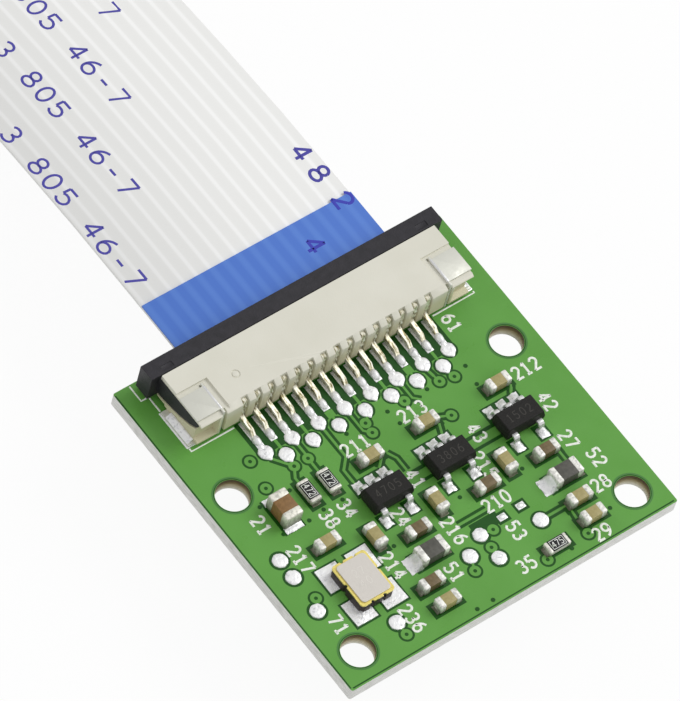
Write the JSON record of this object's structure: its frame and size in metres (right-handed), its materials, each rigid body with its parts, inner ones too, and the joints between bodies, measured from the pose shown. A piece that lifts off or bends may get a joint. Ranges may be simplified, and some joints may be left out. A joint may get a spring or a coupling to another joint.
{
  "type": "camera module",
  "caption": "Small board camera: fixed-focus lens below, chip parts above, and a slide-lock connector that grips a flat ribbon cable.",
  "frame": {"origin": "on the lens axis, at the front face of the lens barrel, which is the face that the module lies on", "axes": "+Z from the lens to the component side of the board, against the viewing direction; +Y along the ribbon cable, away from the board; +X along the connector, to the right when the component side is seen with the cable at the top"},
  "size_m": [0.025, 0.1693, 0.009],
  "materials": {
    "board_mask": "glossy green solder mask over glass-fibre board",
    "housing_plastic": "fine matt ivory moulding",
    "contact_metal": "thin gold flash on stamped strip",
    "slider_plastic": "black moulding, slightly satin",
    "clip_metal": "tinned strip",
    "ribbon_film": "off-white film over flat wires",
    "stiffener_film": "blue film, satin",
    "conductor_metal": "tinned copper",
    "tan_ceramic": "fired ceramic with tinned ends",
    "brown_ceramic": "fired ceramic with tinned ends",
    "resistor_black": "glazed film on ceramic with tinned ends",
    "ferrite_grey": "fired ferrite with tinned ends",
    "moulding_black": "moulding compound",
    "lead_metal": "tinned leads",
    "dark_ceramic": "fired black ceramic",
    "seal_gold": "gold seal ring",
    "lid_metal": "plated lid, satin",
    "solder": "reflowed solder",
    "foam": "black foam tape",
    "flex_film": "amber polyimide film",
    "silicon": "polished silicon",
    "filter_glass": "coated filter glass",
    "lens_plastic": "matt black moulding",
    "lens_glass": "coated lens",
    "plug_plastic": "black moulding",
    "led_red": "red diffused resin on a pale base"
  },
  "bodies": {
    "module": {"pcb": "board_mask", "connector_housing": "housing_plastic", "connector_contacts": "contact_metal", "hold_downs": "clip_metal", "ribbon_cable": "ribbon_film", "ribbon_stiffener_near": "stiffener_film", "ribbon_stiffener_far": "stiffener_film", "ribbon_conductors_near": "conductor_metal", "ribbon_conductors_far": "conductor_metal", "bulk_capacitor": "brown_ceramic", "regulator_leads": "lead_metal", "oscillator_base": "dark_ceramic", "oscillator_seal": "seal_gold", "oscillator_lid": "lid_metal", "contact_solder": "solder", "hold_down_solder": "solder", "chip_solder": "solder", "regulator_solder": "solder", "oscillator_solder": "solder", "test_points": "solder", "foam_pad": "foam", "sensor_base": "flex_film", "image_sensor": "silicon", "infrared_filter": "filter_glass", "lens_holder": "lens_plastic", "lens_barrel": "lens_plastic", "lens_front": "lens_glass", "lens_rear": "lens_glass", "sensor_flex": "flex_film", "flex_plug": "plug_plastic", "flex_socket": "plug_plastic", "status_led": "led_red", "led_resistor": "resistor_black", "capacitor_1": "tan_ceramic", "capacitor_2": "tan_ceramic", "capacitor_3": "tan_ceramic", "capacitor_4": "tan_ceramic", "capacitor_5": "tan_ceramic", "capacitor_6": "tan_ceramic", "capacitor_7": "brown_ceramic", "capacitor_8": "brown_ceramic", "capacitor_9": "brown_ceramic", "capacitor_10": "tan_ceramic", "capacitor_11": "brown_ceramic", "capacitor_12": "tan_ceramic", "capacitor_13": "tan_ceramic", "capacitor_14": "tan_ceramic", "resistor_1": "resistor_black", "regulator_body_1": "moulding_black", "resistor_2": "resistor_black", "regulator_body_2": "moulding_black", "resistor_3": "resistor_black", "regulator_body_3": "moulding_black", "ferrite_1": "ferrite_grey", "ferrite_2": "ferrite_grey"},
    "slider": {"connector_slider": "slider_plastic"}
  },
  "joints": [
    {"name": "slider_slide", "type": "slide", "parent": "module", "child": "slider", "axis": [0, 1, 0], "range_m": [0, 0.0015]}
  ]
}
